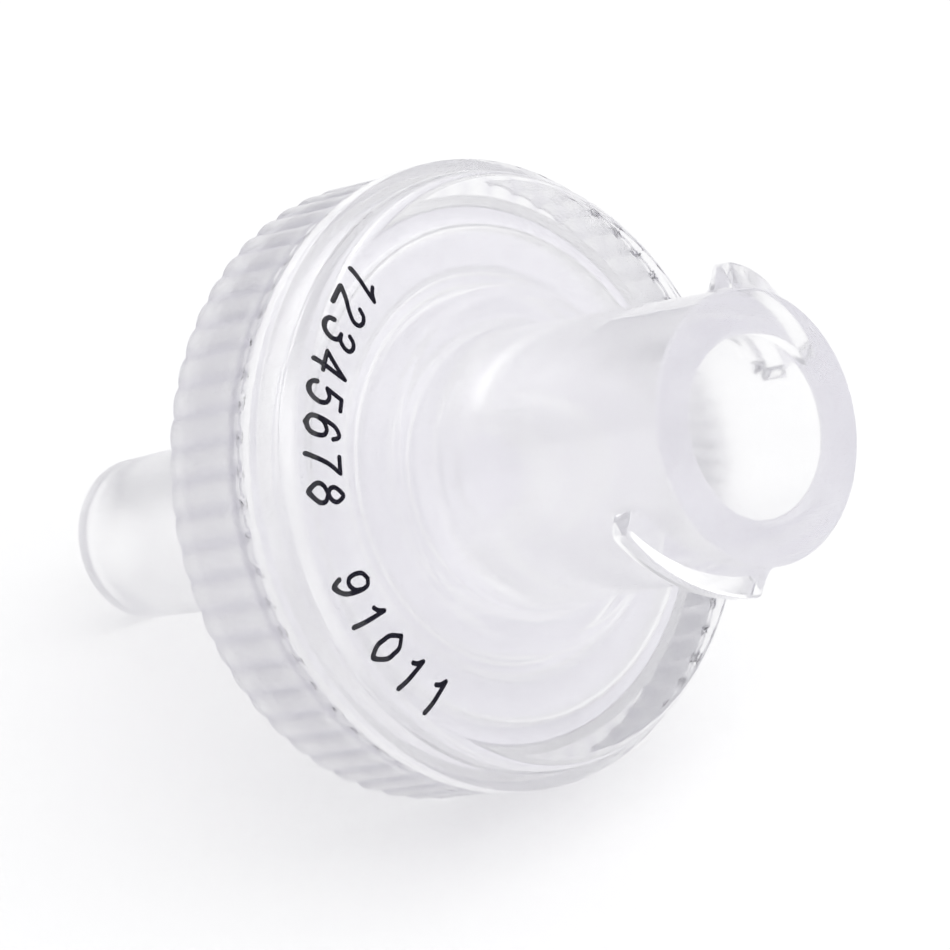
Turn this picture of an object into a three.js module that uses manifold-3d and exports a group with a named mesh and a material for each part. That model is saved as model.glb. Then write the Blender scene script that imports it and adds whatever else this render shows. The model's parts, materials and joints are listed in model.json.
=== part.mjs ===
// A 13 mm syringe filter with a female Luer lock inlet and a male Luer slip outlet.
// Two clear housing halves clamp a glass-fibre prefilter and a nylon membrane, and a
// ribbed ring moulded round their rims holds them together. The filter lies on the back
// edge of that ring and on the tip of its outlet, with the inlet raised.
// Millimetres. Each piece is built about its own axis, +Z towards the inlet, with z = 0
// at the back edge of the ring. The whole is then leant over and set on the floor.
import * as THREE from 'three';
import { mergeVertices } from 'three/addons/utils/BufferGeometryUtils.js';
import Module from 'manifold-3d';

const wasm = await Module();
wasm.setup();

// ---- driving sizes ----

// Fits between the pieces
const seat_gap = 0.02;

// Luer lock inlet
const inlet_barrel_length = 7.85;
const inlet_barrel_diameter = 6.5;
const inlet_barrel_draft = 0.034;      // growth of the diameter for each mm towards the foot
const inlet_end_round = 0.1;
const inlet_foot_fillet = 0.45;
const inlet_hub_diameter = 8.6;
const inlet_hub_height = 0.12;
const bore_mouth_diameter = 4.28;
const bore_mouth_chamfer = 0.1;
const luer_taper = 0.06;               // change of diameter for each mm of length
const bore_floor_thickness = 1.0;
const inlet_hole_diameter = 2.2;
const inlet_flare_diameter = 4.8;
const inlet_flare_depth = 0.6;

// Lugs of the Luer lock
const lug_crest_diameter = 7.8;
const lug_foot_width = 1.2;            // at its root, inside the barrel wall
const lug_crest_width = 0.56;
const lug_root_depth = 0.3;            // how far the root reaches into the wall
const lug_lead = 6.5;                  // travel along the axis for each full turn
const lug_turn_start = 97.5;           // degrees round the axis from the lowest point
const lug_turn_end = 161.5;
const lug_end_slant = 5.5;             // degrees between the crest and the foot of the blunt end
const lug_run_in = 8;                  // degrees over which the other end rises
const lug_set_back = 0.05;             // inlet end to the root of the lug at its blunt end
const lug_steps = 16;

// Face and flange of the inlet housing
const face_thickness = 1.46;
const face_round = 0.72;
const flange_overhang = 0.43;          // beyond the clamped rims, all round
const flange_edge_depth = 1.25;        // from the face to the shoulder under the flange
const inlet_chamber_height = 0.7;
const flow_rib_diameters = [6.3, 9.44];
const flow_rib_width = 0.35;
const flow_rib_gap = 0.12;             // clearance over the prefilter

// Filter discs
const filter_diameter = 13;
const prefilter_thickness = 0.4;
const membrane_thickness = 0.14;
const clamp_width = 0.43;              // the edge of the discs that the two housings squeeze

// Outlet housing
const pocket_clearance = 0.04;         // round the discs
const pocket_wall = 0.26;
const outlet_floor_thickness = 0.8;
const support_rib_height = 0.4;
const support_rib_diameters = [4.1, 6.2, 8.3, 10.4];
const support_rib_width = 0.4;
const support_land_width = 0.45;       // the seat round the edge of the membrane
const channel_width = 0.6;
const channel_count = 8;
const outlet_hub_length = 2.1;         // below the back edge of the ring
const outlet_hub_diameter = 6.6;
const outlet_hub_draft = 0.06;
const outlet_hub_round = 0.3;
const outlet_slip_length = 8.37;
const outlet_tip_diameter = 4.06;
const outlet_tip_round = 0.3;
const outlet_bore_diameter = 2.1;

// Ribbed ring
const ring_wall = 0.75;                // from the clamped rims to the crests of the ribs
const ring_back_lip = 0.33;
const ring_back_cover = 0.7;           // how far its back edge reaches in over the outlet housing
const ring_lip_rise = 0.09;            // of the smooth lip over the crests of the ribs
const ring_lip_slope = 0.4;            // height of the sloping edge round its front
const ring_front_step = 0.58;          // how far the ring's front stays below the face
const ring_rib_count = 60;
const ring_rib_depth = 0.08;
const ring_rib_flatness = 2.2;         // higher makes flatter ribs with narrower notches
const ring_rib_length = 2.4;
const ring_groove_width = 0.34;        // between the ends of the ribs and the smooth lip
const ring_groove_drop = 0.01;         // its floor lies this much deeper than the notches
const ring_band_overlap = 0.3;         // how far the ribbed band reaches into the body of the ring

// Fineness of the round shapes
const turned_steps = 60;
const fillet_steps = 4;
const points_per_rib = 6;
const weld_distance = 1e-5;            // corners closer than this are one corner

// ---- heights that follow, from the back edge of the ring towards the inlet ----
const outlet_back = ring_back_lip + seat_gap;
const groove_floor = outlet_back + outlet_floor_thickness;
const support_top = groove_floor + support_rib_height;
const membrane_base = support_top + seat_gap;
const prefilter_base = membrane_base + membrane_thickness + seat_gap;
const outlet_rim = prefilter_base + prefilter_thickness;
const inlet_base = outlet_rim + seat_gap;
const chamber_ceiling = inlet_base + inlet_chamber_height;
const face = chamber_ceiling + face_thickness;
const inlet_end = face + inlet_barrel_length;
const flange_shoulder = face - flange_edge_depth;
const ring_front = face - ring_front_step;
const outlet_hub_end = -outlet_hub_length;
const outlet_tip = outlet_hub_end - outlet_slip_length;

// ---- radii that follow ----
const barrel_radius = inlet_barrel_diameter / 2;
const foot_radius = barrel_radius + inlet_barrel_length * inlet_barrel_draft / 2;
const bore_floor = chamber_ceiling + bore_floor_thickness;
const bore_mouth_radius = bore_mouth_diameter / 2;
const bore_floor_radius = bore_mouth_radius - (inlet_end - bore_floor) * luer_taper / 2;
const filter_radius = filter_diameter / 2;
const inlet_chamber_radius = filter_radius - clamp_width;
const pocket_radius = filter_radius + pocket_clearance;
const core_radius = pocket_radius + pocket_wall;      // the clamped rims, inside the ring
const tip_radius = outlet_tip_diameter / 2;
const slip_root_radius = tip_radius + outlet_slip_length * luer_taper / 2;
const flange_radius = core_radius + flange_overhang;
const ring_back_radius = core_radius - ring_back_cover;
const rib_crest_radius = core_radius + ring_wall;
const ring_lip_radius = rib_crest_radius + ring_lip_rise;

// ---- helpers ----

/** Points of a round corner: centre, radius, and its first and last angle in degrees. */
function corner(centre_r, centre_z, radius, first, last) {
  const points = [];
  for (let i = 0; i <= fillet_steps; i += 1) {
    const angle = THREE.MathUtils.degToRad(first + (last - first) * i / fillet_steps);
    points.push([centre_r + radius * Math.cos(angle), centre_z + radius * Math.sin(angle)]);
  }
  return points;
}

/** Makes a geometry into a solid that can be joined and cut. */
function to_solid(geometry) {
  const bare = geometry.clone();
  bare.deleteAttribute('normal');
  bare.deleteAttribute('uv');
  const merged = mergeVertices(bare, weld_distance);
  const mesh = new wasm.Mesh({
    numProp: 3,
    vertProperties: new Float32Array(merged.attributes.position.array),
    triVerts: new Uint32Array(merged.index.array),
  });
  return new wasm.Manifold(mesh);
}

/** Makes a solid into a geometry with flat shading. */
function to_geometry(solid) {
  const mesh = solid.getMesh();
  const indexed = new THREE.BufferGeometry();
  indexed.setAttribute('position', new THREE.BufferAttribute(mesh.vertProperties, 3));
  indexed.setIndex(new THREE.BufferAttribute(mesh.triVerts, 1));
  const geometry = indexed.toNonIndexed();
  geometry.computeVertexNormals();
  return geometry;
}

/** Turns a closed profile of [radius, height] points about the Z axis, a flat side lowest. */
function turned(profile) {
  const points = [...profile, profile[0]].map(([r, z]) => new THREE.Vector2(r, z));
  const half_step = Math.PI / turned_steps;
  const geometry = new THREE.LatheGeometry(points, turned_steps, half_step, 2 * Math.PI);
  return to_solid(geometry.rotateX(Math.PI / 2));
}

/** A flat bar through the axis at this turn, used to cut gaps across round ribs. */
function cross_bar(length, width, low, high, turn) {
  const bar = new THREE.BoxGeometry(length, width, high - low);
  bar.translate(0, 0, (low + high) / 2);
  return to_solid(bar.rotateZ(turn));
}

/** The steps up, along and down that one round rib adds to a profile. */
function rib_steps(diameter, width, base, top) {
  const inner = (diameter - width) / 2;
  const outer = (diameter + width) / 2;
  return [[inner, base], [inner, top], [outer, top], [outer, base]];
}

// ---- inlet housing ----

/** One lug: a bar of trapezoid section, wrapped round the barrel along its helix. */
function lug(first_turn) {
  const root = barrel_radius - lug_root_depth;
  const slope = (lug_foot_width - lug_crest_width) / 2;
  const section = new THREE.Shape([
    new THREE.Vector2(0, 0),
    new THREE.Vector2(slope, 1),
    new THREE.Vector2(slope + lug_crest_width, 1),
    new THREE.Vector2(lug_foot_width, 0),
  ]);
  const along = { depth: 1, steps: lug_steps, bevelEnabled: false };
  const bar = new THREE.ExtrudeGeometry(section, along);
  const place = bar.attributes.position;
  const sweep = lug_turn_end - lug_turn_start;
  for (let i = 0; i < place.count; i += 1) {
    const share = place.getZ(i);
    const height = place.getY(i);
    const rise = Math.min(1, (share * sweep) / lug_run_in);
    const crest = THREE.MathUtils.lerp(barrel_radius, lug_crest_diameter / 2, rise);
    const radius = THREE.MathUtils.lerp(root, crest, height);
    const turn = lug_turn_start + share * (sweep - lug_end_slant * height);
    const back = lug_set_back + place.getX(i) + ((lug_turn_end - turn) * lug_lead) / 360;
    const angle = THREE.MathUtils.degToRad(turn + first_turn);
    place.setXYZ(i, radius * Math.cos(angle), radius * Math.sin(angle), inlet_end - back);
  }
  return to_solid(bar);
}

function inlet_housing() {
  const rib_end = inlet_base + flow_rib_gap;
  const hub_top = face + inlet_hub_height;
  const hub_radius = inlet_hub_diameter / 2;
  const hole_radius = inlet_hole_diameter / 2;
  const ribs = flow_rib_diameters.map(
    (d) => rib_steps(d, flow_rib_width, chamber_ceiling, rib_end),
  );
  const foot = [foot_radius + inlet_foot_fillet, hub_top + inlet_foot_fillet];
  const end = [barrel_radius - inlet_end_round, inlet_end - inlet_end_round];
  const body = turned([
    [inlet_flare_diameter / 2, chamber_ceiling],
    ...ribs.flat(),
    [inlet_chamber_radius, chamber_ceiling],
    [inlet_chamber_radius, inlet_base],
    [core_radius, inlet_base],
    [core_radius, flange_shoulder],
    [flange_radius, flange_shoulder],
    ...corner(flange_radius - face_round, face - face_round, face_round, 0, 90),
    [hub_radius + inlet_hub_height, face],
    [hub_radius, hub_top],
    ...corner(...foot, inlet_foot_fillet, 270, 180),
    ...corner(...end, inlet_end_round, 0, 90),
    [bore_mouth_radius + bore_mouth_chamfer, inlet_end],
    [bore_mouth_radius, inlet_end - bore_mouth_chamfer],
    [bore_floor_radius, bore_floor],
    [hole_radius, bore_floor],
    [hole_radius, chamber_ceiling + inlet_flare_depth],
  ]);
  return body.add(lug(0)).add(lug(180));
}

// ---- filter discs ----

function disc(radius, base, thickness) {
  return turned([[0, base], [radius, base], [radius, base + thickness], [0, base + thickness]]);
}

// ---- outlet housing ----

function outlet_housing() {
  const hub_end_radius = outlet_hub_diameter / 2;
  const hub_corner = [hub_end_radius - outlet_hub_round, outlet_hub_end + outlet_hub_round];
  const tip_corner = [tip_radius - outlet_tip_round, outlet_tip + outlet_tip_round];
  const hub_root_radius = hub_end_radius + (outlet_hub_length * outlet_hub_draft) / 2;
  const bore_radius = outlet_bore_diameter / 2;
  const ribs = support_rib_diameters.map(
    (d) => rib_steps(d, support_rib_width, groove_floor, support_top),
  );
  let solid = turned([
    [bore_radius, outlet_tip],
    ...corner(...tip_corner, outlet_tip_round, 270, 360),
    [slip_root_radius, outlet_hub_end],
    ...corner(...hub_corner, outlet_hub_round, 270, 360),
    [hub_root_radius, outlet_back],
    [core_radius, outlet_back],
    [core_radius, outlet_rim],
    [pocket_radius, outlet_rim],
    [pocket_radius, support_top],
    [pocket_radius - support_land_width, support_top],
    [pocket_radius - support_land_width, groove_floor],
    ...ribs.flat().reverse(),
    [bore_radius, groove_floor],
  ]);
  const channel_length = 2 * (pocket_radius - support_land_width) - seat_gap;
  for (let i = 0; i < channel_count / 2; i += 1) {
    const turn = ((i + 0.5) * 2 * Math.PI) / channel_count;
    const bar = cross_bar(channel_length, channel_width, groove_floor, support_top, turn);
    solid = solid.subtract(bar);
  }
  return solid;
}

// ---- ribbed ring ----

/** The outline of the ribbed band: low round lobes that meet in narrow notches. */
function ribbed_outline() {
  const outline = new THREE.Shape();
  const points = [];
  const count = ring_rib_count * points_per_rib;
  for (let i = 0; i < count; i += 1) {
    const across = (2 * (i % points_per_rib)) / points_per_rib - 1;
    const radius = rib_crest_radius - ring_rib_depth * Math.abs(across) ** ring_rib_flatness;
    const turn = (2 * Math.PI * i) / count;
    points.push(new THREE.Vector2(radius * Math.cos(turn), radius * Math.sin(turn)));
  }
  return outline.setFromPoints(points);
}

function ribbed_ring() {
  const body_radius = rib_crest_radius - ring_rib_depth - ring_groove_drop;
  const lip_base = ring_rib_length + ring_groove_width;
  const body = turned([
    [ring_back_radius, 0],
    [body_radius, 0],
    [body_radius, lip_base],
    [ring_lip_radius, lip_base],
    [ring_lip_radius, ring_front - ring_lip_slope],
    [flange_radius + seat_gap, ring_front],
    [flange_radius + seat_gap, flange_shoulder - seat_gap],
    [core_radius + seat_gap, flange_shoulder - seat_gap],
    [core_radius + seat_gap, ring_back_lip],
    [ring_back_radius, ring_back_lip],
  ]);
  const outline = ribbed_outline();
  const hole = new THREE.Path();
  hole.absarc(0, 0, body_radius - ring_band_overlap, 0, 2 * Math.PI, true);
  outline.holes.push(hole);
  const curveSegments = turned_steps / 2;
  const upwards = { depth: ring_rib_length, bevelEnabled: false, curveSegments };
  const band = new THREE.ExtrudeGeometry(outline, upwards);
  return body.add(to_solid(band));
}

// ---- the filter, lying as it comes to rest ----

const pieces = new THREE.Group();

function add_piece(name, solid, colour, roughness) {
  const material = new THREE.MeshStandardMaterial({ color: colour, roughness, metalness: 0 });
  const mesh = new THREE.Mesh(to_geometry(solid), material);
  mesh.name = name;
  pieces.add(mesh);
}

add_piece('inlet_housing', inlet_housing(), '#dedfe8', 0.08);
add_piece('outlet_housing', outlet_housing(), '#d6d7e2', 0.08);
add_piece('ribbed_ring', ribbed_ring(), '#c9cad8', 0.3);
const prefilter = disc(filter_radius, prefilter_base, prefilter_thickness);
add_piece('glass_fibre_prefilter', prefilter, '#f4f4f2', 0.95);
const membrane = disc(filter_radius, membrane_base, membrane_thickness);
add_piece('nylon_membrane', membrane, '#f8f8f8', 0.6);

/** The angle of the axis over the floor, with two rib crests and the round of the tip on it. */
function resting_lean() {
  const crest = rib_crest_radius * Math.cos(Math.PI / ring_rib_count);
  const run = -(outlet_tip + outlet_tip_round);
  const rise = crest - (tip_radius - outlet_tip_round);
  return Math.atan2(rise, run) - Math.asin(outlet_tip_round / Math.hypot(run, rise));
}

// The lowest side is the local +X side, and the inlet points along +X of the whole.
pieces.rotation.y = Math.PI / 2 - resting_lean();
pieces.updateMatrixWorld(true);
const extent = new THREE.Box3().setFromObject(pieces, true);
const middle = extent.getCenter(new THREE.Vector3());
pieces.position.set(-middle.x, -middle.y, -extent.min.z);

const group = new THREE.Group();
group.add(pieces);
group.updateMatrixWorld(true);

export default group;
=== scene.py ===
import json

import bpy
import numpy as np
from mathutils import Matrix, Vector


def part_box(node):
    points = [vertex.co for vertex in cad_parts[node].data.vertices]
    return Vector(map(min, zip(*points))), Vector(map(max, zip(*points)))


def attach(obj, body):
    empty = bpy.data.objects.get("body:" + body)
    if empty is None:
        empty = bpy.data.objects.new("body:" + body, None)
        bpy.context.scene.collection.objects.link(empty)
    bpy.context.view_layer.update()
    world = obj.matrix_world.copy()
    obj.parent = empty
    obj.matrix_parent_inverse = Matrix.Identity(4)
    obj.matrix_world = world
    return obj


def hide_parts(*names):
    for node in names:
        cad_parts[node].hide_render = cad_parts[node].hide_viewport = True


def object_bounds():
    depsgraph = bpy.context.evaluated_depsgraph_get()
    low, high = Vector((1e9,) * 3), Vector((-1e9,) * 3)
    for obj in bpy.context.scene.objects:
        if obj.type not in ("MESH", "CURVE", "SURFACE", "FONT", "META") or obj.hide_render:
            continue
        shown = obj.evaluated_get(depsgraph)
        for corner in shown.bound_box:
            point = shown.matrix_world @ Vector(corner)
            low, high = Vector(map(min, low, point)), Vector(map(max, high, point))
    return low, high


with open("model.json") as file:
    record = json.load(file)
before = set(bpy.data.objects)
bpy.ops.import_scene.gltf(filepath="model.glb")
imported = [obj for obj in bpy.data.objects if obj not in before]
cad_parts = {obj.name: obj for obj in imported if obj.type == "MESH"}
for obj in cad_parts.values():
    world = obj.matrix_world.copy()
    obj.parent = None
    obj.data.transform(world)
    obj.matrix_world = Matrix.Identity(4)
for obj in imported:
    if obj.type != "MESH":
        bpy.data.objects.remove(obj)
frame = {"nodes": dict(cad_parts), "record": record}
cad_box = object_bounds()
record = frame["record"]
chance = np.random.default_rng(7)
print("nodes:", sorted(frame["nodes"]))

# %% [markdown]
# ## Where the filter lies
# The filter lies on its rim and on the tip of its outlet, so its axis leans. The flat end of the inlet is a
# mount in the record, and its normal is the axis. The membrane is a plain disc, so the middle of its box is a
# point of the axis. Everything below is worked out in millimetres on an upright filter, with its height
# measured from the back edge of the ribbed ring, and is laid down by `lay_down`.
# %% The axis, read from the frame
MEMBRANE_MIDDLE = 1.64                 # height of the membrane's middle over the ring's back edge
mounts = {mount["name"]: mount for mount in record["mounts"]}
inlet_way = np.array(mounts["inlet_end_face"]["axis"], float)
inlet_way /= np.linalg.norm(inlet_way)
side_way = np.array([0.0, 1.0, 0.0])
low_way = np.cross(side_way, inlet_way)      # the side of the filter that lies lowest
membrane_low, membrane_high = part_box("nylon_membrane")
membrane_place = (np.array(membrane_low) + np.array(membrane_high)) / 2


def lay_down(points):
    """Upright millimetres to metres in the row's frame: x, y and height run along the lowest side, the
    level side and the axis, measured from the middle of the membrane."""
    points = np.asarray(points, float)
    turned = (
        points[..., 0:1] * low_way
        + points[..., 1:2] * side_way
        + (points[..., 2:3] - MEMBRANE_MIDDLE) * inlet_way
    )
    return membrane_place + turned / 1000


print("axis leans", round(float(np.degrees(np.arcsin(inlet_way[2]))), 2), "degrees over the floor")

# %% [markdown]
# ## Sizes
# The sizes are those of the solids. Here they also get the small rounds that a moulding tool leaves on every
# edge. Clear plastic shows an edge only by how its round bends the light, so these rounds matter more than
# they would on a painted part.
# %% Sizes in millimetres
SEAT_GAP = 0.02

OUTLET_BACK = 0.35
GROOVE_FLOOR = 1.15
SUPPORT_TOP = 1.55
OUTLET_RIM = 2.13
INLET_BASE = OUTLET_RIM + SEAT_GAP
CHAMBER_CEILING = 2.85
FLANGE_SHOULDER = 3.06
RING_FRONT = 3.73
FACE = 4.31
INLET_END = 12.16
OUTLET_HUB_END = -2.1
OUTLET_TIP = -10.47

POCKET_RADIUS = 6.54
CORE_RADIUS = 6.8
CHAMBER_RADIUS = 6.07
FLANGE_RADIUS = 7.23
FACE_ROUND = 0.72

BARREL_RADIUS = 3.25
BARREL_DRAFT = 0.017                   # growth of the radius for each mm towards the foot
BARREL_FOOT_RADIUS = BARREL_RADIUS + (INLET_END - FACE) * BARREL_DRAFT
HUB_RADIUS = 4.3
HUB_HEIGHT = 0.12
BORE_MOUTH_RADIUS = 2.14
BORE_FLOOR = 3.85
BORE_TAPER = 0.03                      # of the radius
BORE_FLOOR_RADIUS = BORE_MOUTH_RADIUS - (INLET_END - BORE_FLOOR) * BORE_TAPER
INLET_HOLE_RADIUS = 1.1
FLARE_RADIUS = 2.4
FLARE_DEPTH = 0.6

FLOW_RIB_DIAMETERS = (6.3, 9.44)
FLOW_RIB_WIDTH = 0.35
FLOW_RIB_END = 2.27

SUPPORT_RIB_DIAMETERS = (4.1, 6.2, 8.3, 10.4)
SUPPORT_RIB_WIDTH = 0.4
SUPPORT_LAND_RADIUS = 6.09
CHANNEL_WIDTH = 0.6
CHANNEL_COUNT = 8
OUTLET_HUB_RADIUS = 3.3
OUTLET_HUB_ROOT_RADIUS = 3.363
SLIP_ROOT_RADIUS = 2.281
TIP_RADIUS = 2.03
OUTLET_BORE_RADIUS = 1.05

RING_BACK_LIP = 0.33
RING_BACK_RADIUS = 6.1
RIB_CREST_RADIUS = 7.55
RIB_COUNT = 60
RIB_DEPTH = 0.08
RIB_FLATNESS = 2.2
RIB_LENGTH = 2.4
LIP_BASE = 2.74
LIP_RADIUS = 7.64
LIP_EDGE = 3.33
RING_MOUTH_RADIUS = FLANGE_RADIUS + SEAT_GAP

LUG_CREST_RADIUS = 3.9
LUG_FOOT_WIDTH = 1.0                   # where it leaves the barrel
LUG_CREST_WIDTH = 0.56
LUG_FOOT_ROUND = 0.03
LUG_CREST_ROUND = 0.1
LUG_LEAD = 6.5
LUG_TURN_START = 97.5
LUG_TURN_END = 161.5
LUG_END_SLANT = 3.8
LUG_RUN_IN = 8.0
LUG_SET_BACK = 0.15                    # inlet end to the foot of the lug at its blunt end
print("length along the axis", round(INLET_END - OUTLET_TIP, 2), "and ring", 2 * LIP_RADIUS, "across")

# %% [markdown]
# ## Frost
# A moulding tool is polished where the plastic shall be clear, and left as it was cut elsewhere. Each stretch
# of an outline is named after its finish, and the finish goes to the mesh as a number between 0 for polished
# and 1 for fully matt, which the plastic's shader uses as its roughness.
# %% Finishes of the moulded surfaces
FROST = {
    "polished": 0.05,                  # the barrel and its lugs
    "plain": 0.08,                     # the face, the flange and the lip of the ring
    "ceiling": 0.35,                   # the chamber over the filter
    "drawn": 0.2,                      # the inlet bore, rubbed by the core pin that is pulled out of it
    "seat": 0.35,                      # faces that lie on another piece, and the outlet's inside
    "joint": 0.3,                      # the faces at which the ring and the inlet housing meet
    "cut": 0.5,                        # the floor of the inlet bore and the small hole in it
    "end": 0.2,                        # the flat end of the barrel
    "slip": 0.32,                      # the outside of the outlet, its hub and the back
    "ribs": 0.3,                       # the ribs of the ring
    "bead": 0.3,                       # the slots and blocks of the ring
}
BOND = {"joint": 1.0}                  # where two mouldings have grown together and no light is turned
print(len(FROST), "finishes, from", min(FROST.values()), "to", max(FROST.values()))

# %% [markdown]
# ## Turned outlines
# Most of the filter is turned: one closed outline carried round the axis. The outline is a short list of
# corners, each with the radius of its round. `rounded_outline` puts an arc in each corner, and a point close
# to both ends of each arc, so that smooth shading stays flat on the flats.
# %% Corners to a fine outline
ARC_STEP = np.radians(9)
TURN_STEP = 1.25                       # degrees between the columns of a housing
TINY_ROUND = 0.03                      # a round that gets no more than two steps
SUPPORT_STEP = 0.015                   # from the end of an arc to the point that keeps the flat flat
SUPPORT_SHARE = 0.008                  # and the most of a side that this step may take
CUT_SHARE = 0.49                       # the most of a side that a round may cut back
IN_LINE = 1e-6                         # a turn of the outline too small to be a corner


def rounded_outline(corners):
    """A closed outline of [radius, height] points from (radius, height, round, name) corners. A corner of
    round q is cut back q / tan(half its angle) along both sides, and an arc about the point q off both
    sides joins the cuts. Where both sides lie in line, the corner only parts two names. Each point carries
    the name of the side that follows it."""
    points, names = [], []
    count = len(corners)
    for index, (r, z, radius, name) in enumerate(corners):
        here = np.array([r, z])
        before = np.array(corners[index - 1][:2]) - here
        after = np.array(corners[(index + 1) % count][:2]) - here
        length_before, length_after = np.linalg.norm(before), np.linalg.norm(after)
        before, after = before / length_before, after / length_after
        half = np.arccos(np.clip(before @ after, -1, 1)) / 2
        sweep = np.pi - 2 * half
        old_name = corners[index - 1][3]
        support = min(SUPPORT_STEP, SUPPORT_SHARE * length_before, SUPPORT_SHARE * length_after)
        if sweep < IN_LINE:
            points.append(np.vstack([here + before * support, here + after * support]))
            names += [old_name, name]
            continue
        cut = min(radius / np.tan(half), CUT_SHARE * length_before, CUT_SHARE * length_after)
        radius = cut * np.tan(half)
        middle = here + (before + after) / np.linalg.norm(before + after) * radius / np.sin(half)
        steps = 2 if radius < TINY_ROUND else int(np.ceil(sweep / ARC_STEP))
        start = here + before * cut - middle
        end = here + after * cut - middle
        share = np.linspace(0, 1, steps + 1)[:, None]
        arc = (np.sin((1 - share) * sweep) * start + np.sin(share * sweep) * end) / np.sin(sweep)
        lead = here + before * (cut + support)
        trail = here + after * (cut + support)
        points.append(np.vstack([lead, middle + arc, trail]))
        half_way = (steps + 1) // 2
        names += [old_name] * (1 + half_way) + [name] * (steps + 2 - half_way)
    return np.vstack(points), np.array(names)


def turned_grid(radius, height, turns):
    """Points of an outline carried round the axis: (radius cos turn, radius sin turn, height) for every
    outline point (a row) and every turn (a column)."""
    radius, height = np.broadcast_arrays(radius, height)
    return np.stack([radius * np.cos(turns), radius * np.sin(turns), height], axis=-1)


def wrapped_faces(rows, columns):
    """Quads between neighbours on a grid that closes on itself both ways, as corner numbers."""
    row, column = np.meshgrid(np.arange(rows), np.arange(columns), indexing="ij")
    next_row, next_column = (row + 1) % rows, (column + 1) % columns
    quads = np.stack(
        [
            row * columns + column,
            row * columns + next_column,
            next_row * columns + next_column,
            next_row * columns + column,
        ],
        axis=-1,
    )
    return quads.reshape(-1, 4)


# %% [markdown]
# ## From arrays to pieces
# Blender keeps a mesh as flat arrays, so a whole grid goes in at once. The faces of a grid that closes on
# itself all wind the same way. The sign of the volume they enclose says whether they point outwards, and if
# it is negative they are wound the other way.
# %% Grids to meshes
def enclosed_volume(points, faces):
    """Volume inside quads: a third of each face's area vector times its place, summed."""
    a, b, c, d = (points[faces[:, k]] for k in range(4))
    return float(np.sum(np.cross(c - a, d - b) * (a + b + c + d)) / 24)


def outward_faces(points, faces):
    """The same quads, all wound so that they face outwards."""
    middle = points.mean(axis=0)
    inside_out = enclosed_volume((points - middle) * 1000, faces) < 0
    return faces[:, ::-1] if inside_out else faces


def make_mesh(name, points, faces):
    """A smooth mesh object from an array of points in metres and an array of quads."""
    mesh = bpy.data.meshes.new(name)
    mesh.vertices.add(len(points))
    mesh.vertices.foreach_set("co", points.astype(np.float32).ravel())
    mesh.loops.add(faces.size)
    mesh.loops.foreach_set("vertex_index", faces.astype(np.int32).ravel())
    mesh.polygons.add(len(faces))
    mesh.polygons.foreach_set("loop_start", np.arange(0, faces.size, 4, dtype=np.int32))
    mesh.update(calc_edges=True)
    mesh.validate()
    mesh.polygons.foreach_set("use_smooth", np.ones(len(mesh.polygons), bool))
    piece = bpy.data.objects.new(name, mesh)
    bpy.context.scene.collection.objects.link(piece)
    return piece


def add_moulding(name, grid, row_names):
    """A closed clear piece from a grid of upright points. Each row's finish goes to its points."""
    rows, columns = grid.shape[:2]
    points = lay_down(grid.reshape(-1, 3))
    piece = make_mesh(name, points, outward_faces(points, wrapped_faces(rows, columns)))
    row_frost = np.array([FROST[row_name] for row_name in row_names], np.float32)
    frost = piece.data.attributes.new("frost", "FLOAT", "POINT")
    frost.data.foreach_set("value", np.repeat(row_frost, columns))
    row_bond = np.array([BOND.get(row_name, 0.0) for row_name in row_names], np.float32)
    bond = piece.data.attributes.new("bond", "FLOAT", "POINT")
    bond.data.foreach_set("value", np.repeat(row_bond, columns))
    print(name, rows * columns, "faces")
    return piece


def blend(value, low, high):
    """0 below low, 1 above high, and a smooth S between them: t t (3 - 2 t)."""
    share = np.clip((value - low) / (high - low), 0, 1)
    return share * share * (3 - 2 * share)


# %% [markdown]
# ## Clear plastic
# The three mouldings are one kind of clear plastic. Its surface bends light by its refractive index, and
# inside it takes a little of the light away, somewhat less of the blue. Thin walls stay clear, and long ways
# through thick plastic come out a cool grey. Fine grain from the tool is a bump of very small height. Where
# the ring has grown together with a housing there is no surface any more, and light goes straight through.
# %% Material of the mouldings
ABSORBED_COLOUR = (0.80, 0.793, 0.829, 1.0)
ABSORBED_DENSITY = 34.0                # for each metre of path
REFRACTIVE_INDEX = 1.5
PAINTED_RIB_SHADE = (0.82, 0.81, 0.86, 1.0)  # painted shade, darker towards the notches between the ribs


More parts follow.
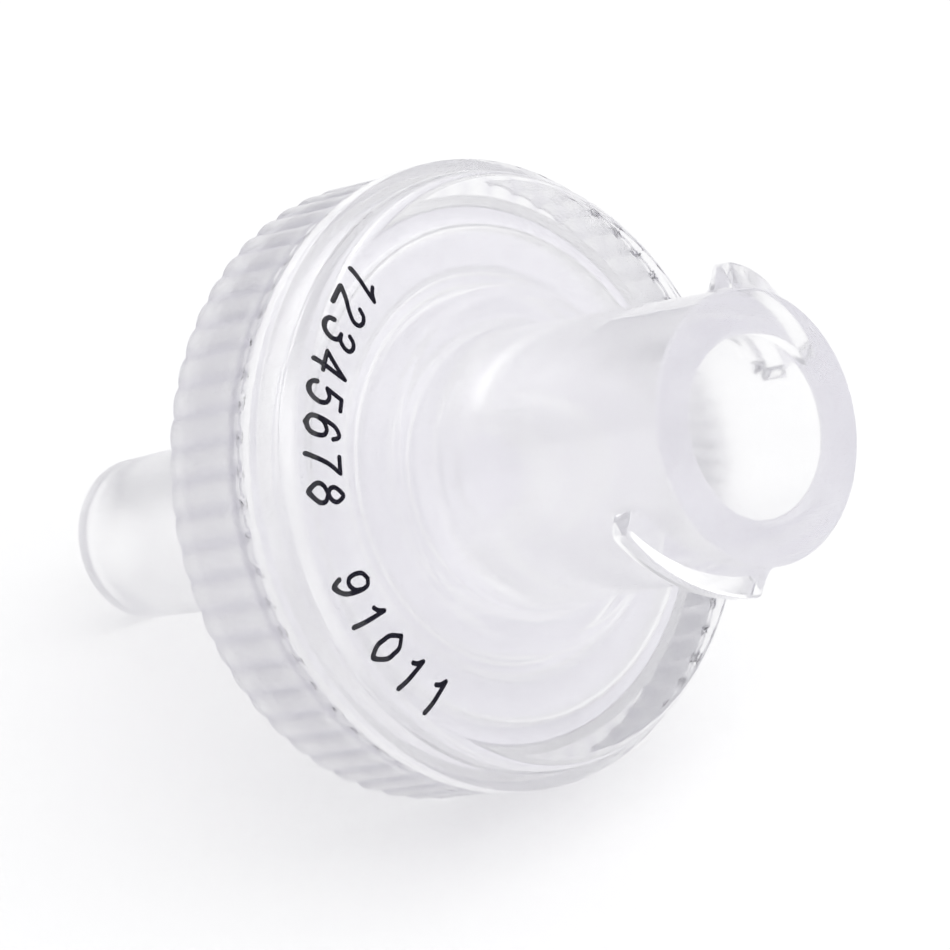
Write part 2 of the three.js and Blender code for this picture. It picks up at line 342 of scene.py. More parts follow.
def clear_plastic(name, grain_size, grain_height):
    """A Principled shader that transmits, with its roughness from the mesh, and an inside that absorbs."""
    material = bpy.data.materials.new(name)
    material.use_nodes = True
    nodes, links = material.node_tree.nodes, material.node_tree.links
    shader = nodes["Principled BSDF"]
    shader.inputs["Base Color"].default_value = (1.0, 1.0, 1.0, 1.0)
    shader.inputs["IOR"].default_value = REFRACTIVE_INDEX
    shader.inputs["Transmission Weight"].default_value = 1.0
    frost = nodes.new("ShaderNodeAttribute")
    frost.attribute_name = "frost"
    links.new(frost.outputs["Fac"], shader.inputs["Roughness"])
    bond = nodes.new("ShaderNodeAttribute")
    bond.attribute_name = "bond"
    passing = nodes.new("ShaderNodeBsdfTransparent")
    mix = nodes.new("ShaderNodeMixShader")
    links.new(bond.outputs["Fac"], mix.inputs["Fac"])
    links.new(shader.outputs["BSDF"], mix.inputs[1])
    links.new(passing.outputs["BSDF"], mix.inputs[2])
    links.new(mix.outputs["Shader"], nodes["Material Output"].inputs["Surface"])
    inside = nodes.new("ShaderNodeVolumeAbsorption")
    inside.inputs["Color"].default_value = ABSORBED_COLOUR
    inside.inputs["Density"].default_value = ABSORBED_DENSITY
    links.new(inside.outputs["Volume"], nodes["Material Output"].inputs["Volume"])
    place = nodes.new("ShaderNodeTexCoord")
    grain = nodes.new("ShaderNodeTexNoise")
    grain.inputs["Scale"].default_value = 1000 / grain_size
    grain.inputs["Detail"].default_value = 1.0
    bump = nodes.new("ShaderNodeBump")
    bump.inputs["Strength"].default_value = 1.0
    bump.inputs["Distance"].default_value = grain_height / 1000
    links.new(place.outputs["Object"], grain.inputs["Vector"])
    links.new(grain.outputs["Fac"], bump.inputs["Height"])
    links.new(bump.outputs["Normal"], shader.inputs["Normal"])
    return material


inlet_plastic = clear_plastic("clear inlet plastic", 1.2, 0.01)
outlet_plastic = clear_plastic("clear outlet plastic", 1.0, 0.012)
ring_plastic = clear_plastic("clear ring plastic", 0.25, 0.01)


def paint_rib_shade(material, colour):
    """Paints shade on the plastic: turns it from white to this colour where the mesh's shade attribute goes
    to 1.
    """
    nodes, links = material.node_tree.nodes, material.node_tree.links
    painted_rib_shade = nodes.new("ShaderNodeAttribute")
    painted_rib_shade.attribute_name = "painted_rib_shade"
    tint = nodes.new("ShaderNodeMix")
    tint.data_type = "RGBA"
    tint.inputs["A"].default_value = (1.0, 1.0, 1.0, 1.0)
    tint.inputs["B"].default_value = colour
    links.new(painted_rib_shade.outputs["Fac"], tint.inputs["Factor"])
    links.new(tint.outputs["Result"], nodes["Principled BSDF"].inputs["Base Color"])


# The ring gets painted shade, darker in the notches between its ribs.
paint_rib_shade(ring_plastic, PAINTED_RIB_SHADE)


def dress(piece, material, node):
    """Gives a piece its material and slot, and lets it stand for its CAD node."""
    piece.data.materials.append(material)
    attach(piece, "root")
    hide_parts(node)


# %% [markdown]
# ## Inlet housing
# The front half is one moulding. Its outline runs from the chamber over the filter, round the flange and up
# the barrel, and back down the tapered bore. Two round ribs hang from the ceiling of the chamber and spread
# the liquid over the filter.
# %% Outline of the inlet housing
def rib_corners(diameter, width, base, top, foot_round, tip_round, name):
    """The four corners that one round rib adds to an outline."""
    inner, outer = (diameter - width) / 2, (diameter + width) / 2
    return [
        (inner, base, foot_round, name),
        (inner, top, tip_round, name),
        (outer, top, tip_round, name),
        (outer, base, foot_round, name),
    ]


flow_ribs = [
    rib_corners(diameter, FLOW_RIB_WIDTH, CHAMBER_CEILING, FLOW_RIB_END, 0.28, 0.17, "ceiling")
    for diameter in FLOW_RIB_DIAMETERS
]
inlet_corners = [
    (FLARE_RADIUS, CHAMBER_CEILING, 0.2, "ceiling"),
    *flow_ribs[0],
    *flow_ribs[1],
    (CHAMBER_RADIUS, CHAMBER_CEILING, 0.3, "ceiling"),
    (CHAMBER_RADIUS, INLET_BASE, 0.04, "seat"),
    (CORE_RADIUS, INLET_BASE, 0.02, "joint"),
    (CORE_RADIUS, FLANGE_SHOULDER, 0.02, "joint"),
    (FLANGE_RADIUS, FLANGE_SHOULDER, 0.02, "joint"),
    (FLANGE_RADIUS, RING_FRONT, 0.01, "plain"),
    (FLANGE_RADIUS, FACE, FACE_ROUND, "plain"),
    (HUB_RADIUS + HUB_HEIGHT, FACE, 0.25, "plain"),
    (HUB_RADIUS - HUB_HEIGHT, FACE + HUB_HEIGHT, 0.25, "plain"),
    (BARREL_FOOT_RADIUS, FACE + HUB_HEIGHT, 0.45, "polished"),
    (BARREL_RADIUS, INLET_END, 0.08, "end"),
    (BORE_MOUTH_RADIUS, INLET_END, 0.2, "drawn"),
    (BORE_FLOOR_RADIUS, BORE_FLOOR, 0.35, "cut"),
    (INLET_HOLE_RADIUS, BORE_FLOOR, 0.15, "cut"),
    (INLET_HOLE_RADIUS, CHAMBER_CEILING + FLARE_DEPTH, 0.1, "cut"),
]
inlet_outline, inlet_names = rounded_outline(inlet_corners)
print("inlet outline", len(inlet_outline), "points")

# %% [markdown]
# ## Lugs
# A Luer lock has two short pieces of a right-hand thread on its rim. In the grid, a band of rows follows
# the thread round the barrel, so the flanks of a lug lie along rows and stay crisp. Between the lugs the
# band runs back to where the next one starts. Each row of the band has its place across the lug's section
# and its share of the height there.
# %% Rows that follow the thread
BAND_MARGIN = 0.3                      # of plain barrel on both sides of the lug's foot
UNDER_BARREL = 2.0                     # depth of a corner that only closes the section
CLOSE_MARGIN = 1.0                     # degrees with close columns on both sides of a lug's blunt end
CLOSE_STEP = 0.4                       # degrees between them


def lug_section():
    """Rows across a lug as (distance from its front foot, share of its height): a trapezoid with rounds."""
    slope = (LUG_FOOT_WIDTH - LUG_CREST_WIDTH) / 2
    height = LUG_CREST_RADIUS - BARREL_RADIUS
    corners = [
        (-BAND_MARGIN, 0.0, 0.0, ""),
        (0.0, 0.0, LUG_FOOT_ROUND, ""),
        (slope, height, LUG_CREST_ROUND, ""),
        (slope + LUG_CREST_WIDTH, height, LUG_CREST_ROUND, ""),
        (LUG_FOOT_WIDTH, 0.0, LUG_FOOT_ROUND, ""),
        (LUG_FOOT_WIDTH + BAND_MARGIN, 0.0, 0.0, ""),
        (LUG_FOOT_WIDTH / 2, -UNDER_BARREL, 0.0, ""),
    ]
    outline, _ = rounded_outline(corners)
    off_middle = np.abs(outline[:, 0] - LUG_FOOT_WIDTH / 2)
    keep = (outline[:, 1] > -IN_LINE) & (off_middle < LUG_FOOT_WIDTH / 2 + LUG_FOOT_ROUND + SUPPORT_STEP)
    outline = outline[keep]
    return outline[:, 0], outline[:, 1] / height


def lug_turns(turns):
    """For each turn: how far the lug's front foot lies from the inlet end, and the lug's share of height.
    The foot falls back by the lead for each full turn away from the blunt end, and returns between lugs."""
    local = np.degrees(turns) % 180
    rising = blend(local, LUG_TURN_START, LUG_TURN_START + LUG_RUN_IN)
    falling = 1 - np.clip((local - (LUG_TURN_END - LUG_END_SLANT)) / LUG_END_SLANT, 0, 1)
    back = LUG_SET_BACK + (LUG_TURN_END - local) * LUG_LEAD / 360
    past = (local - LUG_TURN_END) % 180
    span = 180 - (LUG_TURN_END - LUG_TURN_START)
    furthest = LUG_SET_BACK + (LUG_TURN_END - LUG_TURN_START) * LUG_LEAD / 360
    returning = LUG_SET_BACK + (furthest - LUG_SET_BACK) * blend(past, 0, span)
    inside = (local >= LUG_TURN_START) & (local <= LUG_TURN_END)
    return np.where(inside, back, returning), rising * falling * inside


def inlet_turns():
    """Turns round the inlet housing: evenly spaced, and closer at the blunt ends of the lugs."""
    even = np.arange(0, 360, TURN_STEP)
    close = LUG_TURN_END - LUG_END_SLANT + np.arange(-CLOSE_MARGIN, LUG_END_SLANT + CLOSE_MARGIN, CLOSE_STEP)
    both = np.concatenate([close, close + 180])
    return np.radians(np.unique(np.round(np.concatenate([even, both]), 4)))


# %% [markdown]
# The band of lug rows goes in where the barrel's long straight side meets the round of its end.
# %% Build the inlet housing
def inlet_housing():
    """The turned outline with the band of lug rows in it. In the band, the radius is that of the barrel plus
    the lug's height there, times the section's share across the thread, times the share along it."""
    turns = inlet_turns()
    section_place, section_height = lug_section()
    back, share = lug_turns(turns)
    near_end = (inlet_names == "polished") & (inlet_outline[:, 1] > INLET_END - LUG_SET_BACK)
    first = np.flatnonzero(near_end)[0]
    before, after = inlet_outline[:first], inlet_outline[first:]
    place = INLET_END - back[None, :] - section_place[::-1, None]
    barrel = BARREL_RADIUS + (INLET_END - place) * BARREL_DRAFT
    raised = section_height[::-1, None] * share[None, :]
    lugs = barrel + (LUG_CREST_RADIUS - barrel) * raised
    before, after = (np.repeat(part[..., None], len(turns), axis=2) for part in (before, after))
    radius = np.vstack([before[:, 0], lugs, after[:, 0]])
    height = np.vstack([before[:, 1], place, after[:, 1]])
    names = np.concatenate([inlet_names[:first], ["polished"] * len(place), inlet_names[first:]])
    return add_moulding("clear_inlet_housing", turned_grid(radius, height, turns), names)


dress(inlet_housing(), inlet_plastic, "inlet_housing")

# %% [markdown]
# ## Outlet housing
# The back half: the slip with its 6 per cent taper, the hub it stands on, the floor, and the round ribs that
# carry the membrane, cut by eight straight channels.
# %% Build the outlet housing
support_ribs = []
for diameter in reversed(SUPPORT_RIB_DIAMETERS):
    rib = rib_corners(diameter, SUPPORT_RIB_WIDTH, GROOVE_FLOOR, SUPPORT_TOP, 0.05, 0.08, "seat")
    support_ribs += rib[::-1]
outlet_corners = [
    (OUTLET_BORE_RADIUS, OUTLET_TIP, 0.2, "slip"),
    (TIP_RADIUS, OUTLET_TIP, 0.3, "slip"),
    (SLIP_ROOT_RADIUS, OUTLET_HUB_END, 0.15, "slip"),
    (OUTLET_HUB_RADIUS, OUTLET_HUB_END, 0.3, "slip"),
    (OUTLET_HUB_ROOT_RADIUS, OUTLET_BACK, 0.12, "slip"),
    (CORE_RADIUS, OUTLET_BACK, 0.02, "seat"),
    (CORE_RADIUS, OUTLET_RIM, 0.02, "seat"),
    (POCKET_RADIUS, OUTLET_RIM, 0.02, "seat"),
    (POCKET_RADIUS, SUPPORT_TOP, 0.02, "seat"),
    (SUPPORT_LAND_RADIUS, SUPPORT_TOP, 0.03, "seat"),
    (SUPPORT_LAND_RADIUS, GROOVE_FLOOR, 0.05, "seat"),
    *support_ribs,
    (OUTLET_BORE_RADIUS, GROOVE_FLOOR, 0.05, "seat"),
]
CHANNEL_EDGE = 0.05                    # width of a channel's soft edge, on both sides of its line


def channel_share(radius, turns):
    """1 in the middle of a straight channel across the axis and 0 off it. A point's distance from the
    channel's middle line is its radius times the sine of its turn from that line."""
    pitch = 2 * np.pi / CHANNEL_COUNT
    off = turns % pitch - pitch / 2
    distance = np.abs(radius[:, None] * np.sin(off)[None, :])
    return 1 - blend(distance, CHANNEL_WIDTH / 2 - CHANNEL_EDGE, CHANNEL_WIDTH / 2 + CHANNEL_EDGE)


def outlet_housing():
    """The turned outline, with its support ribs brought down to the grooves' floor in the channels:
    height + (floor - height) times the channel's share."""
    outline, names = rounded_outline(outlet_corners)
    turns = np.radians(np.arange(0, 360, TURN_STEP))
    height = np.repeat(outline[:, 1:2], len(turns), axis=1)
    ribs = (outline[:, 1] > GROOVE_FLOOR + 1e-6) & (outline[:, 0] < SUPPORT_LAND_RADIUS - 0.3)
    height[ribs] += (GROOVE_FLOOR - height[ribs]) * channel_share(outline[ribs, 0], turns)
    return add_moulding("clear_outlet_housing", turned_grid(outline[:, 0:1], height, turns), names)


dress(outlet_housing(), outlet_plastic, "outlet_housing")

# %% [markdown]
# ## Ribbed ring
# The ring is moulded round both halves. Its outside carries sixty low ribs. Where they end, a row of small
# blocks stands between two narrow slots, and in front of them comes a smooth lip. The slots are deep in the
# middle of a rib and vanish near the notch between two ribs, where the plastic is crumpled.
# %% Outline of the ribbed ring
SLOT_DEPTH = 0.09
SLOT_WIDTH = 0.06
BLOCK_START = RIB_LENGTH + SLOT_WIDTH
BLOCK_END = LIP_BASE - SLOT_WIDTH
BLOCK_RADIUS = RIB_CREST_RADIUS - 0.01
SLOT_RADIUS = RIB_CREST_RADIUS - SLOT_DEPTH
WALL_SLANT = 0.01                      # the way a slot's wall leans over its depth
ring_corners = [
    (RING_BACK_RADIUS, 0.0, 0.05, "ribs"),
    (RIB_CREST_RADIUS, 0.0, 0.06, "ribs"),
    (RIB_CREST_RADIUS, RIB_LENGTH, 0.02, "bead"),
    (SLOT_RADIUS, RIB_LENGTH + WALL_SLANT, 0.01, "bead"),
    (SLOT_RADIUS, BLOCK_START - WALL_SLANT, 0.01, "bead"),
    (BLOCK_RADIUS, BLOCK_START, 0.02, "bead"),
    (BLOCK_RADIUS, BLOCK_END, 0.02, "bead"),
    (SLOT_RADIUS, BLOCK_END + WALL_SLANT, 0.01, "bead"),
    (SLOT_RADIUS, LIP_BASE - WALL_SLANT, 0.01, "bead"),
    (LIP_RADIUS, LIP_BASE, 0.04, "plain"),
    (LIP_RADIUS, LIP_EDGE, 0.05, "plain"),
    (RING_MOUTH_RADIUS, RING_FRONT, 0.03, "joint"),
    (RING_MOUTH_RADIUS, FLANGE_SHOULDER - SEAT_GAP, 0.01, "joint"),
    (CORE_RADIUS + SEAT_GAP, FLANGE_SHOULDER - SEAT_GAP, 0.01, "joint"),
    (CORE_RADIUS + SEAT_GAP, RING_BACK_LIP, 0.01, "seat"),
    (RING_BACK_RADIUS, RING_BACK_LIP, 0.01, "seat"),
]

# %% [markdown]
# A rib's lobe falls off with a power of the distance from its crest. The crumple is random, with a height
# that is largest at the notches and none on the crests, and only on the rows of slots and blocks.
# %% Build the ribbed ring
TURNS_PER_RIB = 12
RIBBED_SKIN = 0.35                     # depth under the crests in which the ribs fade out
CRUMPLE = 0.018
CRUMPLE_RANGE = (-0.06, 0.03)
CLOSED_RANGE = (0.5, 0.8)              # where a rib's slots close, from 0 on its crest to 1 in the notch


def ribbed_ring():
    """The turned outline with radius - depth * (way from the crest) ** flatness on its ribbed side. The
    slots are filled towards the notches, and the crumple is added to slots and blocks."""
    outline, names = rounded_outline(ring_corners)
    columns = RIB_COUNT * TURNS_PER_RIB
    turns = np.linspace(0, 2 * np.pi, columns, endpoint=False)
    across = np.abs((turns * RIB_COUNT / np.pi) % 2 - 1)
    lobe = -RIB_DEPTH * across**RIB_FLATNESS
    r, z = outline[:, 0], outline[:, 1]
    behind_lip = z < LIP_BASE - WALL_SLANT / 2
    ribbed = blend(r, RIB_CREST_RADIUS - RIBBED_SKIN, SLOT_RADIUS) * behind_lip
    beads = (names == "bead") & behind_lip
    slots = beads & (r < BLOCK_RADIUS - 0.02)
    rib_number = np.arange(columns) // TURNS_PER_RIB
    closed = chance.uniform(*CLOSED_RANGE, RIB_COUNT)[rib_number]
    bridged = blend(across, closed - 0.15, closed + 0.1)
    radius = r[:, None] + ribbed[:, None] * lobe[None, :]
    radius += slots[:, None] * bridged[None, :] * (BLOCK_RADIUS - r)[:, None]
    crumple = chance.normal(0, CRUMPLE, radius.shape) * blend(across, 0.55, 0.9)[None, :]
    radius += np.clip(crumple, *CRUMPLE_RANGE) * beads[:, None]
    height = np.repeat(z[:, None], columns, axis=1)
    ring = add_moulding("clear_ribbed_ring", turned_grid(radius, height, turns), names)
    # Painted shade: none on the crests, rising to full in the notches, only on the ribbed skin.
    painted_rib_shade = ring.data.attributes.new("painted_rib_shade", "FLOAT", "POINT")
    shade = ribbed[:, None] * blend(across, 0.2, 1.0)[None, :]
    painted_rib_shade.data.foreach_set("value", shade.astype(np.float32).ravel())
    return ring


dress(ribbed_ring(), ring_plastic, "ribbed_ring")

# %% [markdown]
# ## Filter discs
# The prefilter is felted glass fibre and the membrane a thin nylon film. Both are plain discs, and the CAD
# solids already have their shape, so they only get a finish here. Felt is cloudy with fine pits.
# %% Finish of the discs
DISC_TINT = (0.99, 0.98, 1.02)


def grained(name, colour, dark, light, roughness, grain_size):
    """A finish whose colour wanders between two shares of one colour, in grains of this size."""
    material = bpy.data.materials.new(name)
    material.use_nodes = True
    nodes, links = material.node_tree.nodes, material.node_tree.links
    shader = nodes["Principled BSDF"]
    shader.inputs["Roughness"].default_value = roughness
    place = nodes.new("ShaderNodeTexCoord")
    cloud = nodes.new("ShaderNodeTexNoise")
    cloud.inputs["Scale"].default_value = 1000 / grain_size
    cloud.inputs["Detail"].default_value = 4.0
    tone = nodes.new("ShaderNodeMapRange")
    tone.inputs["From Min"].default_value = 0.3
    tone.inputs["From Max"].default_value = 0.7
    tone.inputs["To Min"].default_value = dark
    tone.inputs["To Max"].default_value = light
    links.new(place.outputs["Object"], cloud.inputs["Vector"])
    links.new(cloud.outputs["Fac"], tone.inputs["Value"])
    tint = nodes.new("ShaderNodeVectorMath")
    tint.operation = "SCALE"
    tint.inputs[0].default_value = colour
    links.new(tone.outputs["Result"], tint.inputs["Scale"])
    links.new(tint.outputs[0], shader.inputs["Base Color"])
    return material


felt = grained("glass fibre felt", DISC_TINT, 0.87, 0.93, 0.95, 0.4)
film = grained("nylon film", DISC_TINT, 0.9, 0.93, 0.6, 1.0)
for node, material in (("glass_fibre_prefilter", felt), ("nylon_membrane", film)):
    solid = frame["nodes"][node]
    solid.data.materials.clear()
    solid.data.materials.append(material)

# %% [markdown]
# ## Printed figures
# Figures are printed on the rounded shoulder of the face, with their tops towards the barrel. Each figure is
# a few strokes of a pen on a card one unit high, given as points that a smooth curve runs through.
# %% Strokes of the figures
LOOP = [
    (0.3, 1), (0.05, 0.75), (0.02, 0.5), (0.05, 0.25), (0.3, 0),
    (0.55, 0.25), (0.58, 0.5), (0.55, 0.75), (0.3, 1),
]
STROKES = {
    "0": [LOOP],
    "1": [[(0.12, 0.76), (0.26, 0.84), (0.38, 1)], [(0.38, 1), (0.38, 0)]],
    "2": [
        [(0.06, 0.76), (0.12, 0.93), (0.3, 1), (0.5, 0.92),
         (0.55, 0.73), (0.42, 0.5), (0.2, 0.25), (0.04, 0)],
        [(0.04, 0), (0.58, 0)],
    ],
    "3": [
        [(0.06, 0.8), (0.14, 0.95), (0.3, 1), (0.48, 0.93), (0.52, 0.76), (0.42, 0.58), (0.24, 0.54)],
        [(0.24, 0.54), (0.46, 0.48), (0.56, 0.28), (0.48, 0.07), (0.28, 0), (0.1, 0.06), (0.03, 0.22)],
    ],
    "4": [[(0.44, 0), (0.44, 1)], [(0.44, 1), (0.02, 0.3)], [(0.02, 0.3), (0.6, 0.3)]],
    "5": [
        [(0.52, 1), (0.14, 1)],
        [(0.14, 1), (0.07, 0.52)],
        [(0.07, 0.52), (0.28, 0.62), (0.48, 0.54), (0.57, 0.32),
         (0.48, 0.08), (0.28, 0), (0.1, 0.06), (0.03, 0.2)],
    ],
    "6": [
        [(0.53, 0.82), (0.44, 0.96), (0.3, 1), (0.1, 0.84), (0.03, 0.45), (0.08, 0.12), (0.3, 0)],
        [(0.3, 0), (0.52, 0.1), (0.57, 0.32), (0.49, 0.54), (0.3, 0.61), (0.1, 0.5), (0.04, 0.3)],
    ],
    "7": [[(0.04, 1), (0.58, 1)], [(0.58, 1), (0.34, 0.62), (0.22, 0)]],
    "8": [
        [(0.3, 0.54), (0.12, 0.63), (0.08, 0.8), (0.3, 1), (0.52, 0.8), (0.48, 0.63), (0.3, 0.54)],
        [(0.3, 0.54), (0.06, 0.42), (0.03, 0.22), (0.3, 0), (0.57, 0.22), (0.54, 0.42), (0.3, 0.54)],
    ],
    "9": [
        [(0.06, 0.18), (0.16, 0.04), (0.3, 0), (0.5, 0.16), (0.57, 0.55), (0.52, 0.88), (0.3, 1)],
        [(0.3, 1), (0.08, 0.9), (0.03, 0.68), (0.11, 0.46), (0.3, 0.39), (0.5, 0.5), (0.56, 0.7)],
    ],
}
PEN_STEPS = 8                          # points of the curve between two given points


def smooth_stroke(corners):
    """A curve through the points: each part is the cubic that leaves and arrives along the line between
    the neighbours of its ends. A stroke of two points stays straight."""
    corners = np.array(corners, float)
    padded = np.vstack([2 * corners[0] - corners[1], corners, 2 * corners[-1] - corners[-2]])
    a, b, c, d = padded[:-3, None], padded[1:-2, None], padded[2:-1, None], padded[3:, None]
    t = np.linspace(0, 1, PEN_STEPS, endpoint=False)[None, :, None]
    square, cube = t**2, t**3
    bend = (a - 2.5 * b + 2 * c - d / 2) * square
    curve = b + (c - a) * t / 2 + bend + (1.5 * (b - c) + (d - a) / 2) * cube
    return np.vstack([curve.reshape(-1, 2), corners[-1:]])


# %% [markdown]
# A stroke of ink is a flat pad that lies on the plastic. On the card it is a closed tube with a low
# elliptical section that tapers to a round at both ends. The card is then wrapped on the shoulder: across
# the figure is round the axis, and up the figure is along the shoulder towards the barrel.
# %% Wrap the strokes on the shoulder
FIGURE_HEIGHT = 0.98
FIGURE_WIDTH = 0.85                    # of the card, against its height
FIGURE_LEAN = 0.2
FIGURE_MIDDLE = 0.3                    # of the card, across
FIGURE_BASE_RADIUS = 6.92              # where the figures stand, on the round
PEN_WIDTH = 0.13
INK_HEIGHT = 0.012
SECTION_STEPS = 10
CAP_ANGLES = (88.0, 60.0, 35.0, 12.0)  # degrees, from the tip of a stroke back to its straight part
FIGURE_RUNS = [                        # figures, and the turns of the first and the last in degrees
    ("12345678", 204.5, 252.5),
    ("91011", 272.0, 303.5),
]


def pen_tube(curve):
    """Rows of points round a flat section along a curve on the card, as (along, up, over the card). The
    ends close in with the round of a circle as wide as the pen."""
    step = np.gradient(curve, axis=0)
    way = step / np.linalg.norm(step, axis=1, keepdims=True)
    aside = np.stack([-way[:, 1], way[:, 0]], axis=1)
    cap = np.radians(np.array(CAP_ANGLES))
    reach, narrow = PEN_WIDTH / 2 * np.sin(cap)[:, None], np.cos(cap)
    spine = np.vstack([curve[0] - way[0] * reach, curve, curve[-1] + way[-1] * reach[::-1]])
    asides = np.vstack([np.repeat(aside[:1], len(cap), 0), aside, np.repeat(aside[-1:], len(cap), 0)])
    width = np.concatenate([narrow, np.ones(len(curve)), narrow[::-1]])[:, None]
    angle = np.linspace(0, 2 * np.pi, SECTION_STEPS, endpoint=False)[None, :]
    across = spine[:, None, :] + asides[:, None, :] * (width * np.cos(angle) * PEN_WIDTH / 2)[..., None]
    over = width * np.sin(angle) * INK_HEIGHT
    return np.concatenate([across, over[..., None]], axis=2)


def on_shoulder(card, middle_turn):
    """Card points to the shoulder. The distance up the card is a way along the face's rounded edge: an
    angle of the round until the round ends, and the flat face from there on."""
    round_radius = FLANGE_RADIUS - FACE_ROUND
    low_angle = np.arcsin((FIGURE_BASE_RADIUS - round_radius) / FACE_ROUND)
    angle = low_angle - card[..., 1] / FACE_ROUND
    bent = np.maximum(angle, 0)
    surface = FACE_ROUND + card[..., 2]
    radius = round_radius + surface * np.sin(bent) + np.minimum(angle, 0) * FACE_ROUND
    height = FACE - FACE_ROUND + surface * np.cos(bent)
    turn = middle_turn + card[..., 0] / FIGURE_BASE_RADIUS
    return np.stack([radius * np.cos(turn), radius * np.sin(turn), height], axis=-1)


def tube_faces(rows, columns):
    """Quads of a closed tube, with a strip of quads across each of its end rows."""
    around = wrapped_faces(rows, columns).reshape(rows, columns, 4)[:-1].reshape(-1, 4)
    side = np.arange(columns // 2 - 1)
    strip = np.stack([side, side + 1, columns - 2 - side, columns - 1 - side], axis=1)
    return np.vstack([around, strip[:, ::-1], strip + (rows - 1) * columns])


def printed_figures(texts):
    """One mesh of all strokes. Each text is (figures, first turn, last turn) in degrees."""
    points, faces, total = [], [], 0
    for figures, first, last in texts:
        places = np.radians(np.linspace(first, last, len(figures)))
        for figure, place in zip(figures, places):
            for stroke in STROKES[figure]:
                curve = smooth_stroke(stroke) * [FIGURE_WIDTH, 1.0]
                curve[:, 0] += curve[:, 1] * FIGURE_LEAN - FIGURE_MIDDLE * FIGURE_WIDTH - 0.5 * FIGURE_LEAN
                tube = on_shoulder(pen_tube(curve * FIGURE_HEIGHT), place)
                flat = lay_down(tube.reshape(-1, 3))
                quads = tube_faces(*tube.shape[:2])
                faces.append(outward_faces(flat, quads) + total)
                points.append(flat)
                total += len(flat)
    return make_mesh("printed_figures", np.vstack(points), np.vstack(faces))


INK_COLOUR = (0.006, 0.005, 0.014)
INK_GLOSS = 0.15                       # ink mirrors far less than the plastic round it
ink = grained("dark ink", INK_COLOUR, 0.7, 1.3, 0.45, 0.2)
ink.node_tree.nodes["Principled BSDF"].inputs["Specular IOR Level"].default_value = INK_GLOSS
figures_piece = printed_figures(FIGURE_RUNS)
figures_piece.data.materials.append(ink)
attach(figures_piece, "root")
print("printed figures", len(figures_piece.data.polygons), "faces")

# %% [markdown]
# ## Floor
# The filter lies on a white table. To the camera, and to rays that a clear surface bends or mirrors, the
# table adds a little glow of its own, so that it comes out white. Matt surfaces get no such light from it,
# and it keeps the filter's shadow.
# %% Floor
FLOOR_COLOUR = (0.68, 0.68, 0.68, 1.0)
FLOOR_GLOW = 0.32
floor_corners = np.array([[-1.0, -1.0, 0], [1.0, -1.0, 0], [1.0, 1.0, 0], [-1.0, 1.0, 0]])
floor = make_mesh("floor", floor_corners, np.array([[0, 1, 2, 3]]))
floor_material = bpy.data.materials.new("white table")
floor_material.use_nodes = True
floor_shader = floor_material.node_tree.nodes["Principled BSDF"]
floor_shader.inputs["Base Color"].default_value = FLOOR_COLOUR
floor_shader.inputs["Roughness"].default_value = 1.0
floor_shader.inputs["Specular IOR Level"].default_value = 0.0
floor_nodes, floor_links = floor_material.node_tree.nodes, floor_material.node_tree.links
ray = floor_nodes.new("ShaderNodeLightPath")
seen = floor_nodes.new("ShaderNodeMath")
seen.operation = "ADD"
seen_glow = floor_nodes.new("ShaderNodeMath")
seen_glow.operation = "ADD"
seen_glow.use_clamp = True
glow = floor_nodes.new("ShaderNodeMath")
glow.operation = "MULTIPLY"
glow.inputs[1].default_value = FLOOR_GLOW
floor_links.new(ray.outputs["Is Camera Ray"], seen.inputs[0])
floor_links.new(ray.outputs["Is Glossy Ray"], seen.inputs[1])
floor_links.new(seen.outputs[0], seen_glow.inputs[0])
floor_links.new(ray.outputs["Is Transmission Ray"], seen_glow.inputs[1])
floor_links.new(seen_glow.outputs[0], glow.inputs[0])
floor_shader.inputs["Emission Color"].default_value = (1.0, 1.0, 1.0, 1.0)
floor_links.new(glow.outputs[0], floor_shader.inputs["Emission Strength"])
floor.data.materials.append(floor_material)
print("floor corners", floor_corners.tolist())

# %% [markdown]
# ## Light
# All the light comes from a soft sky, as from white walls with large lamps behind a sheet. Its level is
#
#     level = base + top * z + side * z * (x cos turn + y sin turn)
#
# where x, y and z are the direction looked in. So it is brightest overhead, brighter on one side than on the
# other, and dim near the floor. Where it is dim it is also a little cooler. A clear piece shows its shape by
# which part of such a sky each surface bends or mirrors into view.
# %% Sky
world = bpy.data.worlds.new("studio")
bpy.context.scene.world = world
world.use_nodes = True
world_nodes, world_links = world.node_tree.nodes, world.node_tree.links
background = world_nodes["Background"]
background.inputs["Strength"].default_value = 1.0
SKY_BASE = 0.42
SKY_TOP = 0.95
SKY_SIDE = 0.75
SKY_SIDE_TURN = 40.0                   # degrees round from +X to the brighter side
SKY_DARK = (0.88, 0.87, 1.0)           # tint of the dim part


def world_maths(operation, first, second):
    """A maths node of the world on two sockets or numbers, as its output socket."""
    node = world_nodes.new("ShaderNodeMath")
    node.operation = operation
    for socket, value in zip(node.inputs, (first, second)):
        if isinstance(value, float):
            socket.default_value = value
        else:
            world_links.new(value, socket)
    return node.outputs[0]


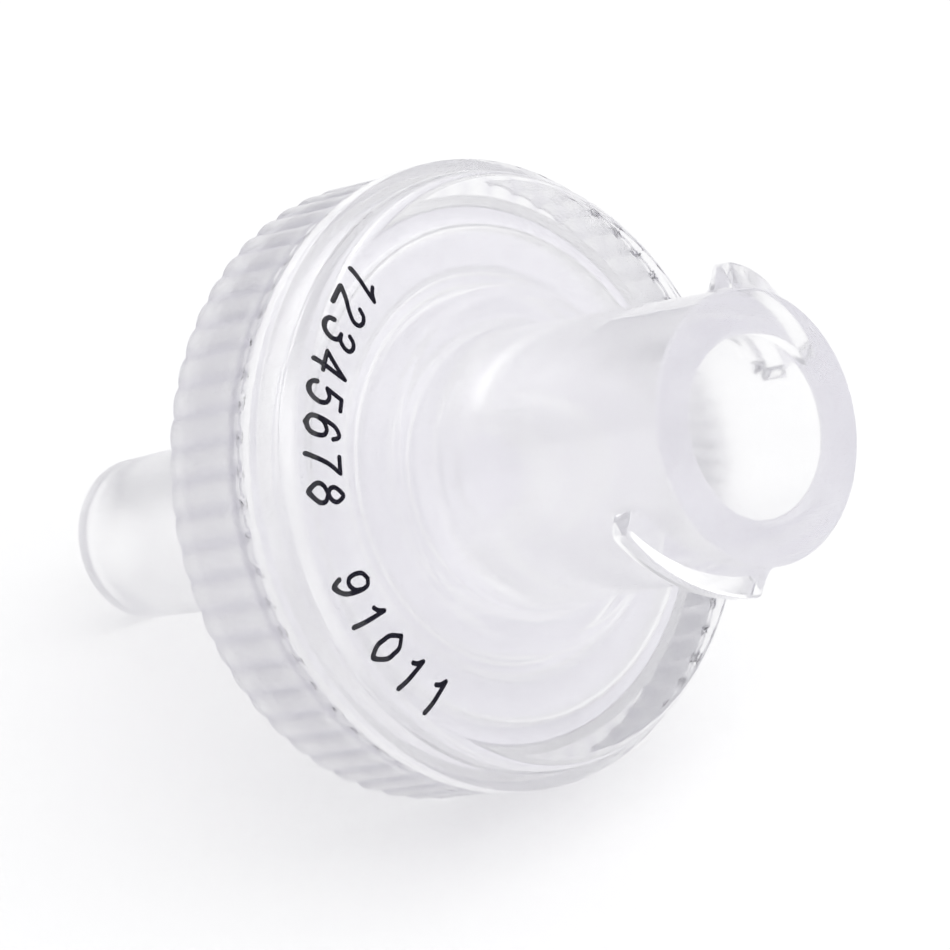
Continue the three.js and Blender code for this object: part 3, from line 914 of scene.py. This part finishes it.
sky_place = world_nodes.new("ShaderNodeTexCoord")
sky_parts = world_nodes.new("ShaderNodeSeparateXYZ")
world_links.new(sky_place.outputs["Generated"], sky_parts.inputs[0])
side_x = world_maths("MULTIPLY", sky_parts.outputs[0], SKY_SIDE * float(np.cos(np.radians(SKY_SIDE_TURN))))
side_y = world_maths("MULTIPLY", sky_parts.outputs[1], SKY_SIDE * float(np.sin(np.radians(SKY_SIDE_TURN))))
side = world_maths("MULTIPLY", world_maths("ADD", side_x, side_y), sky_parts.outputs[2])
top = world_maths("MULTIPLY", sky_parts.outputs[2], SKY_TOP)
level_of_sky = world_maths("ADD", side, world_maths("ADD", top, SKY_BASE))
tint = world_nodes.new("ShaderNodeMix")
tint.data_type = "RGBA"
tint.inputs["A"].default_value = (*SKY_DARK, 1.0)
tint.inputs["B"].default_value = (1.0, 1.0, 1.0, 1.0)
world_links.new(level_of_sky, tint.inputs["Factor"])
scaled = world_nodes.new("ShaderNodeVectorMath")
scaled.operation = "SCALE"
world_links.new(tint.outputs["Result"], scaled.inputs[0])
world_links.new(level_of_sky, scaled.inputs["Scale"])
world_links.new(scaled.outputs[0], background.inputs["Color"])
print("sky from", SKY_BASE, "low down to", round(SKY_BASE + SKY_TOP, 2), "overhead")

# %% [markdown]
# ## Camera
# The camera looks down on the inlet from a little to one side. It aims at the middle of the solids' box, with
# a small offset, and stands far off with a long lens, which keeps the filter's proportions.
# %% Camera
CAMERA_AZIMUTH = -49.658
CAMERA_ELEVATION = 30.248
CAMERA_DISTANCE = 0.15534
CAMERA_LENS = 243.28
AIM_OFFSET = Vector((0.00066, 0.00049, -0.00015))
box_low, box_high = cad_box
aim = (Vector(box_low) + Vector(box_high)) / 2 + AIM_OFFSET
print("aim", [round(value, 6) for value in aim])
azimuth, elevation = np.radians(CAMERA_AZIMUTH), np.radians(CAMERA_ELEVATION)
level = np.cos(elevation)
away = Vector((level * np.cos(azimuth), level * np.sin(azimuth), np.sin(elevation)))
camera_data = bpy.data.cameras.new("camera")
camera_data.lens = CAMERA_LENS
camera_data.sensor_width = 36.0
camera_data.clip_start = 0.001
camera = bpy.data.objects.new("camera", camera_data)
bpy.context.scene.collection.objects.link(camera)
camera.location = aim + away * CAMERA_DISTANCE
camera.rotation_euler = (-away).to_track_quat("-Z", "Y").to_euler()
bpy.context.scene.camera = camera

# %% [markdown]
# ## How light is followed
# A ray that looks into clear plastic may be mirrored inside it many times before it leaves, so it is allowed
# many bounces. The sky is so even that rays which happen to meet it are enough, and no extra rays are aimed
# at it. The denoiser works from the picture alone: fed with surface directions as well, it would draw every
# small round as a line of its own.
# %% Render settings
scene = bpy.context.scene
world.cycles.sampling_method = "NONE"
scene.view_settings.view_transform = "Standard"
scene.cycles.max_bounces = 24
scene.cycles.transmission_bounces = 24
scene.cycles.glossy_bounces = 24
scene.cycles.diffuse_bounces = 4
scene.cycles.blur_glossy = 0.0
scene.cycles.denoising_input_passes = "RGB"
scene.cycles.transparent_max_bounces = 16
print("bounces through clear plastic:", scene.cycles.transmission_bounces)
